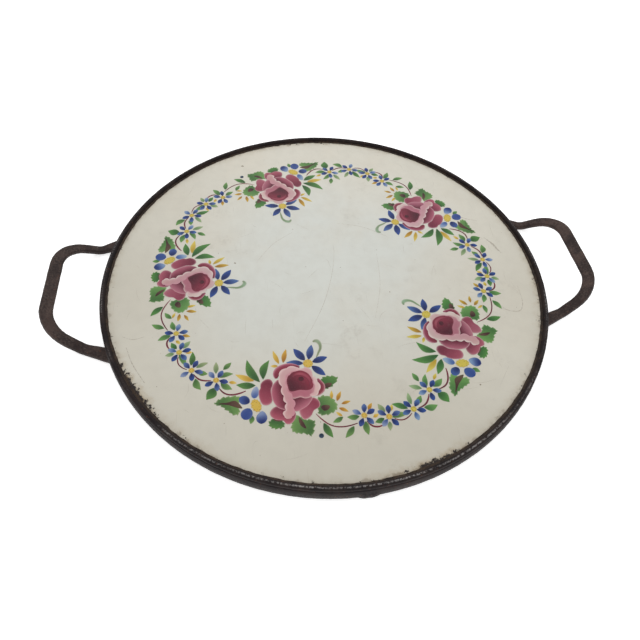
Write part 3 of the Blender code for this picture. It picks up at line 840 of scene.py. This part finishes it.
# outline, number of teeth, heart's outline, green, direction of the light
TOOTHED = [
    ([(-15.4, 174.6), (-16, 167), (-15, 161.6), (-8, 161.6), (0.4, 159.8), (2.9, 168.6),
      (1, 173.6), (-3.6, 174.6), (-10, 174)], 13,
     [(-9.8, 169.4), (-5.4, 168.4), (-2.6, 164.6), (-1.8, 160.6), (-5.2, 163)], "mid", 0),
    ([(8.6, 169.4), (10, 172.4), (15, 174), (19.6, 173.4), (21.6, 169.6), (18.6, 166),
      (12.4, 165.6)], 10,
     [(11.4, 166.8), (16, 167.6), (19.2, 166.4), (15.6, 165)], "deep", 90),
    ([(-32, 144.6), (-30.4, 150), (-24.4, 154.4), (-18, 154.6), (-16.4, 149), (-14.6, 141),
      (-19.6, 137), (-27.4, 139)], 12,
     [(-25.4, 149), (-21.8, 151.2), (-18.4, 148.4), (-20.6, 145.8), (-25.6, 145.6)], "mid", 220),
    ([(-14.8, 128.6), (-18, 131), (-24.6, 127), (-28.4, 118), (-20.6, 117.4), (-14.6, 121)], 11,
     [(-17.6, 130.4), (-22.8, 128.2), (-24.2, 124.2), (-20.2, 124.4), (-16.8, 127.4)], "deep", 250),
    ([(48, 165.6), (51.6, 168.2), (58, 165.6), (65, 162.4), (70.4, 161.4), (66.6, 155.6),
      (59.6, 152.6), (51.8, 151.4), (50.4, 158.4)], 15,
     [(46.6, 161), (51, 161.6), (58, 160.6), (67.4, 160.8), (60.6, 158.4), (53.8, 155.6)],
     "mid", 200),
]


def draw_vines(paint):
    for knots in VINES:
        paint.ribbon(knots, VINE, 1)


def draw_leaves(paint):
    for base, tip, width, green, bow in LEAVES:
        paint.leafy(base, tip, width, GREENS[green], 3, bow, 0.46)
    for outline, count, heart, green, toward in TOOTHED:
        inner, outer, rim = GREENS[green]
        paint.blob(outline, (inner, outer), 2, rim, toward, teeth=(count, 1.5))
        paint.blob(heart, (HEART, HEART_TIP), 3, HEART_RIM, toward)
    curl = [(-6.4, 101, 0.7), (-7.4, 96, 2), (-8.4, 90.5, 2.6), (-7.2, 86, 3.4),
            (-4.6, 83.4, 4), (-2.2, 83.4, 3.2), (-0.4, 84.8, 1.6)]
    paint.ribbon(curl, [(130, 142, 108), (116, 134, 100), (136, 160, 130), (122, 132, 104)], 3,
                 ((166, 176, 150), (172, 182, 158)))


def draw_buds(paint):
    for base, tip, width, yellow in BUDS:
        paint.leafy(base, tip, width, YELLOWS[yellow], 2, 0.02, 0.45)


def petal_from(paint, centre, angle, start, reach, width, blue, layer, belly=0.55, blunt=0.75):
    """A petal that points away from a flower's centre, at an angle in degrees."""
    away = np.array(polar(1, radians(angle)))
    base = np.array(centre) + away * start
    tip = np.array(centre) + away * reach
    paint.leafy(base, tip, width, BLUES[blue], layer, 0, belly, blunt)


def flower_centre(paint, middle, across, up, layer, tilt=0):
    """A ragged yellow disc with a ring of small dark stamens."""
    def spot(angle, share):
        u = cos(angle) * across / 2 * share
        v = sin(angle) * up / 2 * share
        return (middle[0] + u * cos(tilt) - v * sin(tilt),
                middle[1] + u * sin(tilt) + v * cos(tilt))

    ring = [spot(2 * pi * k / 8, 1) for k in range(8)]
    paint.blob(ring, (CENTRE, CENTRE), layer, CENTRE_RIM, teeth=(11, 0.9))
    for k in range(9):
        angle = 2 * pi * (k + 0.3 * sin(5.0 * k)) / 9
        at = np.array(spot(angle, 0.72 + 0.22 * sin(3.0 * k)))
        paint.leafy(at - (0.34, 0), at + (0.34, 0), 0.62, (STAMEN, STAMEN, CENTRE), layer + 0.5)


def draw_blue_flowers(paint):
    for centre, directions in FLOWERS:
        for k, angle in enumerate(directions):
            blue = ("deep", "mid", "deep", "mid", "pale")[(k + int(centre[0])) % 5]
            petal_from(paint, centre, angle, 2.6, 10.8, 4.7, blue, 4)
        flower_centre(paint, centre, 4.9, 4.9, 5)

    for base, tip, width, colours, belly, blunt in LARGE_PETALS:
        paint.leafy(base, tip, width, colours, 4, 0, belly, blunt)
    flower_centre(paint, (35.7, 156.7), 12, 8, 6, radians(-55))

    for angle, reach, width, blue in STAR_PETALS:
        petal_from(paint, STAR, angle, 4.2, reach, width, blue, 4, 0.46, 0.85)
    flower_centre(paint, STAR, 8.6, 8.2, 6)


def draw_rose(paint):
    """Outer petals, then the arcs round the cup, the dark cup, and the pale rolled lips on top."""
    pink = (212, 172, 172)
    light = (214, 186, 178)
    paint.blob([(-5.6, 161.8), (-9.4, 160.6), (-12, 157), (-13.2, 152.4), (-17, 148.4),
                (-17.2, 145), (-14.6, 141.6), (-9, 141), (-2, 150), (-1.2, 156)],
               ((138, 56, 76), (168, 92, 108)), 5, (214, 190, 180), 70)
    paint.blob([(2.2, 156.6), (0.9, 162), (3.2, 167.2), (7, 168.6), (10.6, 166.2), (17, 166.4),
                (21.8, 163.6), (22.8, 159.6), (19, 154.6), (10, 154.8)],
               ((116, 42, 62), (172, 88, 104)), 5, (204, 168, 166), 80)
    paint.blob([(23.2, 151), (26, 154.6), (30.6, 154.8), (34.6, 149.8), (36.6, 143.6),
                (36, 140.2), (36.6, 135.6), (33.6, 131), (29.4, 130.2), (26.4, 133.6),
                (26.6, 140), (24.6, 146)],
               ((112, 38, 58), (160, 74, 92)), 5, (206, 166, 168), 75)
    paint.ribbon([(-9.6, 137.4, 1.6), (-13.4, 136, 4.6), (-16.2, 132, 5.6), (-15.8, 128, 5.6),
                  (-13.4, 124.6, 4), (-11, 122, 2)],
                 [(122, 44, 56), (132, 50, 64), (128, 46, 66), (150, 74, 96)], 5,
                 ((104, 36, 50), (196, 150, 152)))
    paint.ribbon([(6.6, 113.4, 1.6), (11, 113.2, 4.2), (16, 114, 5.6), (20.6, 116.6, 7),
                  (24, 120.4, 7.6), (25.4, 124.4, 6), (24.6, 128.4, 2.2)],
                 [(120, 50, 66), (140, 56, 78), (138, 50, 68), (118, 40, 56)], 5,
                 ((116, 40, 56), (196, 140, 152)))
    paint.blob([(-9.8, 140.8), (-9.2, 145), (-6.6, 149.8), (-2.6, 153.6), (1.2, 156), (4.4, 154.6),
                (5, 149), (7, 144), (2, 141), (-5, 139.6)],
               ((88, 28, 44), (178, 106, 122)), 6, (200, 150, 154), 135, (1.6, 146))
    paint.blob([(9.6, 155.4), (13.6, 156.2), (18, 154.8), (22.4, 150.2), (25.4, 143.8),
                (26.4, 137), (24.6, 131.6), (22.4, 129.4), (18.6, 133.6), (15.6, 140),
                (11.4, 147)],
               ((98, 30, 48), (172, 92, 110)), 6, (212, 168, 172), 25, (16.8, 145))
    paint.blob([(-9.4, 138.8), (-4.6, 142.6), (0.4, 142.4), (5.6, 144.8), (10.4, 143.4), (14, 136),
                (18, 128), (16.6, 119), (10, 115), (4.4, 114.6), (1, 112.4),
                (-4.4, 114.8), (-6.8, 121), (-10, 128)],
               ((206, 164, 164), (172, 100, 116)), 7, (218, 190, 184), 95)
    paint.blob([(-7.6, 132.6), (-4, 134.8), (2, 135.6), (9.8, 138.6), (13.2, 133.8), (15.2, 127.8),
                (13.8, 121.8), (9, 118), (3.6, 116.6), (-2.2, 118.6), (-6.4, 123.4), (-8.6, 129)],
               ((142, 48, 68), (72, 20, 36)), 8, (128, 50, 66), 52, (4, 126.6))
    paint.ribbon([(-5.6, 130.4, 0.8), (-5, 125.4, 2.8), (-1.6, 121.6, 3.6), (3.6, 119.8, 3.8),
                  (8.6, 121.4, 3), (10.8, 124.6, 1)],
                 [(112, 40, 58), (156, 68, 86), (164, 76, 92), (110, 38, 54)], 9,
                 ((110, 36, 54), (124, 44, 60)))
    paint.blob([(0.4, 124.8), (2.6, 127.2), (5.4, 126), (5, 123.4), (2.4, 122.4)],
               ((74, 22, 36), (84, 28, 42)), 10, (112, 40, 56))
    paint.ribbon([(-7.4, 139, 1.6), (-11, 136.4, 4.8), (-12.2, 131.8, 5.6), (-10.8, 127.2, 5.2),
                  (-8.6, 123.4, 3.6), (-6, 120.6, 1.6)],
                 [pink, light, (218, 194, 188), (214, 188, 184)], 9,
                 ((190, 124, 138), (226, 204, 198)), (3, 1.2))
    paint.ribbon([(7.6, 164, 1), (7.5, 162.8, 5.4), (7.3, 160.2, 8.6), (6.9, 156, 8.2),
                  (7.4, 151.6, 7.8), (8.8, 147.6, 8), (11.4, 143.8, 7.6), (14.2, 139.8, 5.8),
                  (16.2, 135.4, 5), (18, 130.8, 6), (19.4, 126.2, 7.4), (18, 121.4, 7.6),
                  (14.2, 117.6, 6.8), (9.4, 116, 4.2), (4.6, 115.4, 1.8)],
                 [(212, 180, 172), (198, 150, 150), (196, 144, 150), (198, 152, 154),
                  (204, 168, 166), (204, 166, 166), (220, 190, 188)], 10,
                 ((226, 202, 196), (204, 146, 156)), (8, 1.7))


def draw_dot(paint):
    """The round register dot beside some roses."""
    ring = [(-23.0 + 2.1 * cos(a), 173.5 + 2.1 * sin(a))
            for a in np.linspace(0, 2 * pi, 9)[:-1]]
    paint.blob(ring, ((24, 42, 58), (44, 66, 88)), 3, (110, 126, 146))


def make_garland(mats):
    """One piece for each kind of thing drawn, with a slightly different ink in every spray."""
    kinds = {"garland_vines": draw_vines, "garland_leaves": draw_leaves, "garland_buds": draw_buds,
             "garland_blue_flowers": draw_blue_flowers, "garland_roses": draw_rose}
    random.seed(11)
    tints = [[1 + random.uniform(-0.06, 0.06) for _ in range(3)] for _ in range(SPRAYS)]
    for name, draw in kinds.items():
        paint = Painter()
        for k in range(SPRAYS):
            paint.place = spray_place(k)
            paint.tint = [t * INK.get(name, 1.0) for t in tints[k]]
            draw(paint)
            if name == "garland_buds" and k in DOTTED_SPRAYS:
                draw_dot(paint)
        paint.build(name, [mats["print"]])


def spray_place(k):
    """Turns a spray's own millimetres into a place on the panel."""
    a = SPRAY_FIRST + 2 * pi * k / SPRAYS
    outward_x, outward_y = cos(a), sin(a)
    return lambda u, v: ((outward_x * v + outward_y * u) * MM, (outward_y * v - outward_x * u) * MM)


# ---------------------------------------------------------------- scratches and specks
# places in millimetres from the tray's centre, with a width
SCUFFS = [
    [(178, 35, 0.4), (181, 31, 1.6), (185, 24, 2.4), (187, 18, 1.8), (190, 12, 0.4)],
    [(166, -56, 0.2), (170, -61, 0.5), (176, -64, 0.6), (184, -64, 0.6), (189, -57, 0.5), (191, -48, 0.4),
     (192, -33, 0.2)],
    [(-191, -72, 0.3), (-184, -90, 0.7), (-172, -110, 0.5)],
    [(-196, -60, 0.2), (-186, -64, 0.5), (-176, -62, 0.2)],
    [(152, 74, 0.2), (166, 66, 0.5), (178, 62, 0.3)],
    [(-30, -80, 0.15), (-8, -40, 0.3), (6, 0, 0.25), (12, 30, 0.15)],
    [(40, -60, 0.15), (52, -20, 0.25), (56, 22, 0.15)],
    [(-70, 20, 0.15), (-52, 44, 0.3), (-30, 60, 0.15)],
    [(20, 70, 0.15), (48, 62, 0.3), (74, 44, 0.15)],
]
SPECKS = [(-80, 175, 1.3), (-92, 21, 0.9), (60, -30, 0.6), (-20, 10, 0.5), (120, -140, 0.7)]


def make_marks(mats):
    """Scuffs that stand out, then many fine scratches and specks at random."""
    paint = Painter()
    paint.place = lambda u, v: (u * MM, v * MM)
    faint = (196, 194, 184)
    reach = PANEL_R / MM
    for knots in SCUFFS:
        paint.ribbon(knots, [faint, (185, 181, 170), faint], 0.5, (PALE, PALE))
    random.seed(5)
    for _ in range(90):
        r = reach * sqrt(random.random()) * 0.93
        a = random.uniform(0, 2 * pi)
        b = random.uniform(0, pi)
        long = random.uniform(5, 26)
        bend = random.uniform(-2, 2)
        u, v = polar(r, a)
        knots = [(u, v, 0.06), (u + long / 2 * cos(b) - bend * sin(b),
                                v + long / 2 * sin(b) + bend * cos(b), 0.16),
                 (u + long * cos(b), v + long * sin(b), 0.06)]
        if hypot(*knots[2][:2]) < reach - 4:
            paint.ribbon(knots, [faint, (170, 164, 150), faint], 0.5)
    spots = list(SPECKS)
    for _ in range(60):
        r = reach * sqrt(random.random()) * 0.96
        a = random.uniform(0, 2 * pi)
        spots.append((*polar(r, a), random.uniform(0.12, 0.42)))
    for u, v, size in spots:
        ring = []
        for i in range(7):
            a = 2 * pi * i / 7
            grown = size * (1 + 0.35 * sin(3.1 * i + u))
            ring.append((u + grown * cos(a), v + grown * sin(a)))
        paint.blob(ring, ((96, 84, 68), (120, 106, 86)), 0.7, (172, 162, 144))
    paint.build("panel_scratches", [mats["dirt"]])


# ================================================================ leg gear and rivets
def bend(before, corner, after, radius, steps):
    """Points of the round bend that replaces a corner of a rod's route."""
    u = (before - corner).normalized()
    v = (after - corner).normalized()
    half = u.angle(v) / 2
    middle = corner + (u + v).normalized() * radius / sin(half)
    start = corner + u * radius / tan(half) - middle
    end = corner + v * radius / tan(half) - middle
    return [middle + Matrix.Rotation(start.angle(end) * i / steps, 3, start.cross(end)) @ start
            for i in range(steps + 1)]


def rod_rings(route, radius, sides):
    """Rings of points across a flat route (all in one XY plane), with rounded ends."""
    ends = []
    for tip, inner in ((route[0], route[1]), (route[-1], route[-2])):
        back = (inner - tip).normalized()
        ends.append([(tip + back * 0.0002 * k, radius - 0.0006 + 0.0003 * k) for k in range(3)])
    stations = ends[0] + [(p, radius) for p in route[1:-1]] + ends[1][::-1]
    rings = []
    for i, (place, r) in enumerate(stations):
        ahead = (stations[min(i + 1, len(stations) - 1)][0] - stations[max(i - 1, 0)][0]).normalized()
        side = Vector((-ahead.y, ahead.x, 0))
        ring = []
        for k in range(sides):
            a = 2 * pi * k / sides
            p = place + (side * cos(a) + Vector((0, 0, 1)) * sin(a)) * r
            ring.append(p + (p - place).normalized() * 0.04 * MM * noise.noise(p / 0.003))
        rings.append(ring)
    return rings


def make_leg_frame(word, mats):
    """One bent rod: pivot stub, leg, foot bar, leg, pivot stub."""
    node = "leg_frame_" + word
    low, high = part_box(node)
    hinge = HINGES["leg_" + word]
    side = 1 if hinge.x > 0 else -1
    foot = (low.x if side > 0 else high.x) + side * ROD_R
    end = high.y
    corners = [(hinge.x, -end), (hinge.x, -LEG_HALF_Y), (foot, -LEG_HALF_Y), (foot, LEG_HALF_Y),
               (hinge.x, LEG_HALF_Y), (hinge.x, end)]
    corners = [Vector((x, y, hinge.z)) for x, y in corners]
    route = [corners[0]]
    for i in range(1, 5):
        turn = bend(corners[i - 1], corners[i], corners[i + 1], LEG_BEND_R, 12)
        between = int((turn[0] - route[-1]).length / 0.004)
        start = route[-1]
        route += [start.lerp(turn[0], k / between) for k in range(1, between)] + turn
    route += [route[-1].lerp(corners[-1], t) for t in (0.5, 1.0)]
    sides = 28
    rings = rod_rings(route, ROD_R, sides)
    points = [p for ring in rings for p in ring]
    faces = grid_faces(len(rings), sides, False, True)
    faces += [tuple(range(sides)), tuple(range(len(points) - sides, len(points)))]
    mesh = outward(mesh_of(node + "_rod", points, faces))
    add_piece(mesh, [mats["steel"]], "leg_" + word, [node])


def make_sleeve(word, way, mats):
    """Rubber tube with moulded ribs."""
    node = f"foot_sleeve_{word}_{way}"
    low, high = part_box(node)
    outer = (high.z - low.z) / 2
    inner = ROD_R + GAP
    long = high.y - low.y
    section = [(inner, long), (inner, 0.0), (outer - 0.0005, 0.0), (outer - 0.0001, 0.0003)]
    ribs = 8
    for k in range(ribs * 6 + 1):
        t = k / (ribs * 6)
        dip = 0.00022 * (1 - abs(cos(pi * ribs * t)) ** 0.5)
        section.append((outer - 0.00002 - dip, 0.0008 + (long - 0.0016) * t))
    section += [(outer - 0.0001, long - 0.0003), (outer - 0.0005, long)]
    mesh = turned(node + "_ribbed", section, 48)
    turn = Matrix.Rotation(radians(-90), 4, "X")
    middle = (low + high) / 2
    mesh.transform(Matrix.Translation((middle.x, low.y, middle.z)) @ turn)
    outward(mesh)
    add_piece(mesh, [mats["rubber"]], "leg_" + word, [node])


def rivet_profile(long):
    """A domed head from its top, then the shank, as (radius, distance from the top)."""
    dome = []
    for k in range(9):
        a = radians(90 * k / 8)
        dome.append((RIVET_HEAD_R * sin(a), RIVET_HEAD_H * 0.86 * (1 - cos(a))))
    return dome + [(RIVET_HEAD_R, RIVET_HEAD_H), (RIVET_R, RIVET_HEAD_H), (RIVET_R, long), (0.0, long)]


def make_rivets(prefix, direction_at, mats):
    """Every rivet of a kind, domed and turned finely, placed by its own node in the frame."""
    names = sorted(n for n in frame["nodes"] if n.startswith(prefix))
    points = []
    faces = []
    sides = 20
    for number, node in enumerate(names):
        co = np.array([v.co for v in frame["nodes"][node].data.vertices])
        low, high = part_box(node)
        middle = (low + high) / 2
        way = direction_at(middle)
        reach = co @ np.array(way)
        top = middle + way * (reach.min() - middle.dot(way))
        turn = Matrix.Translation(top) @ way.to_track_quat("Z", "Y").to_matrix().to_4x4()
        profile = rivet_profile(reach.max() - reach.min())
        dinge = 1 + 0.04 * sin(5.0 * number)
        first = len(points)
        for r, z in profile:
            for k in range(sides):
                a = 2 * pi * k / sides
                wide = max(r, 0.00001) * (dinge if z < RIVET_HEAD_H else 1)
                points.append(turn @ Vector((*polar(wide, a), z)))
        faces += grid_faces(len(profile), sides, False, True, first)
        faces.append(tuple(first + k for k in range(sides)))
        faces.append(tuple(len(points) - sides + k for k in range(sides)))
    mesh = outward(mesh_of(prefix + "s_domed", points, faces))
    add_piece(mesh, [mats["rivet"]], replaces=names)


def dress_node(node, mat, bevel):
    """Keeps a node of the frame, with a finer material and softened edges."""
    obj = frame["nodes"][node]
    obj.data.materials.clear()
    obj.data.materials.append(mat)
    soft = obj.modifiers.new("soft_edges", "BEVEL")
    soft.width = bevel
    soft.segments = 2
    soft.limit_method = "ANGLE"
    soft.angle_limit = radians(50)


def make_ledge(mats):
    """The angle ring under the panel, rolled from strip and a little uneven."""
    outer = HOOP_INNER_R - GAP
    top = PANEL_BOTTOM - GAP
    c = 0.0002
    section = [(LEDGE_INNER_R, top - LEDGE_T + c), (LEDGE_INNER_R, top - c), (LEDGE_INNER_R + c, top),
               (outer - c, top), (outer, top - c), (outer, LEDGE_BOTTOM + c), (outer - c, LEDGE_BOTTOM),
               (outer - LEDGE_T + c, LEDGE_BOTTOM), (outer - LEDGE_T, LEDGE_BOTTOM + c),
               (outer - LEDGE_T, top - LEDGE_T), (LEDGE_INNER_R + c, top - LEDGE_T)]

    def rolled(r, z, a):
        if r < LEDGE_INNER_R + 0.001:
            r += 0.15 * MM * roundabout(a, HOOP_R, 0.020, 3.0)
        return r, z

    mesh = turned("ledge_ring_rolled", section, 360, rolled)
    add_piece(mesh, [mats["steel"]], replaces=["ledge_ring"])


def make_leg_gear(mats):
    for word in ("left", "right"):
        make_leg_frame(word, mats)
        dress_node("strap_" + word, mats["steel"], 0.00025)
        dress_node("stow_clip_" + word, mats["clip"], 0.00012)
        for way in ("front", "back"):
            dress_node(f"hinge_saddle_{word}_{way}", mats["steel"], 0.0002)
            make_sleeve(word, way, mats)
    make_ledge(mats)
    up = Vector((0, 0, 1))
    make_rivets("ledge_rivet", lambda p: Vector((p.x, p.y, 0)).normalized(), mats)
    make_rivets("strap_rivet", lambda p: up, mats)
    make_rivets("saddle_rivet", lambda p: up, mats)


# ================================================================ camera, floor, light
def make_camera():
    out = Vector((cos(VIEW_FROM) * cos(VIEW_RISE), sin(VIEW_FROM) * cos(VIEW_RISE),
                  sin(VIEW_RISE)))
    place = Vector((0, 0, PANEL_TOP)) + out * VIEW_DISTANCE
    look = (VIEW_TARGET - place).normalized()
    level = look.cross(Vector((0, 0, 1))).normalized()
    upright = level.cross(look)
    right = level * cos(VIEW_ROLL) + upright * sin(VIEW_ROLL)
    up = upright * cos(VIEW_ROLL) - level * sin(VIEW_ROLL)
    data = bpy.data.cameras.new("view")
    data.lens = LENS_MM
    data.sensor_width = 36.0
    data.clip_start = 0.01
    camera = put("view", data)
    turn = Matrix((right, up, -look)).transposed().to_4x4()
    camera.matrix_world = Matrix.Translation(place) @ turn
    bpy.context.scene.camera = camera


def softbox(name, place, size, watts, tint):
    data = bpy.data.lights.new(name, "AREA")
    data.shape = "SQUARE"
    data.size = size
    data.energy = watts
    data.color = tint
    lamp = put(name, data)
    lamp.location = place
    lamp.rotation_euler = (-Vector(place)).to_track_quat("-Z", "Y").to_euler()


def make_stage():
    half = FLOOR_HALF
    corners = [(-half, -half, FLOOR_Z), (half, -half, FLOOR_Z), (half, half, FLOOR_Z), (-half, half, FLOOR_Z)]
    floor = put("floor", mesh_of("floor", corners, [(0, 1, 2, 3)]))
    s = Surface("pale_floor", specular=0.1)
    white = s.mix(s.noise(3, 2), (0.92, 0.92, 0.92), (0.94, 0.94, 0.94))
    s.set(Base_Color=white, Roughness=0.9, Emission_Color=white, Emission_Strength=FLOOR_GLOW)
    floor.data.materials.append(s.made)

    world = bpy.data.worlds.new("studio")
    world.use_nodes = True
    glow = world.node_tree.nodes["Background"]
    glow.inputs["Color"].default_value = (1.0, 1.0, 1.0, 1.0)
    glow.inputs["Strength"].default_value = WORLD_GLOW
    bpy.context.scene.world = world
    softbox("key", (0.1, 1.1, 1.3), 1.0, 6, (1.0, 1.0, 1.0))
    softbox("fill", (0.8, -1.0, 1.5), 1.2, 1.5, (1.0, 0.98, 0.95))
    bpy.context.scene.view_settings.view_transform = "Standard"


def main():
    make_camera()
    make_stage()
    mats = {
        # the third colour of each iron is its rubbed metal, which also paints the highlights
        "iron": worn_iron("hoop_iron", (28, 22, 23), (42, 33, 31), (176, 172, 170), (0.62, 0.34)),
        "bar": worn_iron("forged_bar_iron", (46, 37, 36), (70, 56, 52), (94, 82, 76), (0.6, 0.5)),
        "cream": cream_paint(),
        "print": transfer_paint("garland_print", 0.42),
        "dirt": mark_paint(),
        "primer": primer(),
        "putty": old_putty(),
        "steel": blackened_steel("blackened_steel", (58, 55, 54), 0.7, 0.48, 0.5),
        "rivet": blackened_steel("rivet_steel", (112, 106, 102), 0.9, 0.38, 0.3),
        "clip": blackened_steel("spring_steel", (128, 128, 132), 0.95, 0.28, 0.12),
        "rubber": black_rubber(),
    }
    make_hoop(mats)
    for word, side in (("left", -1), ("right", 1)):
        make_handle(word, side, mats)
    make_seal(mats)
    make_panel(mats)
    make_garland(mats)
    make_marks(mats)
    make_leg_gear(mats)


main()
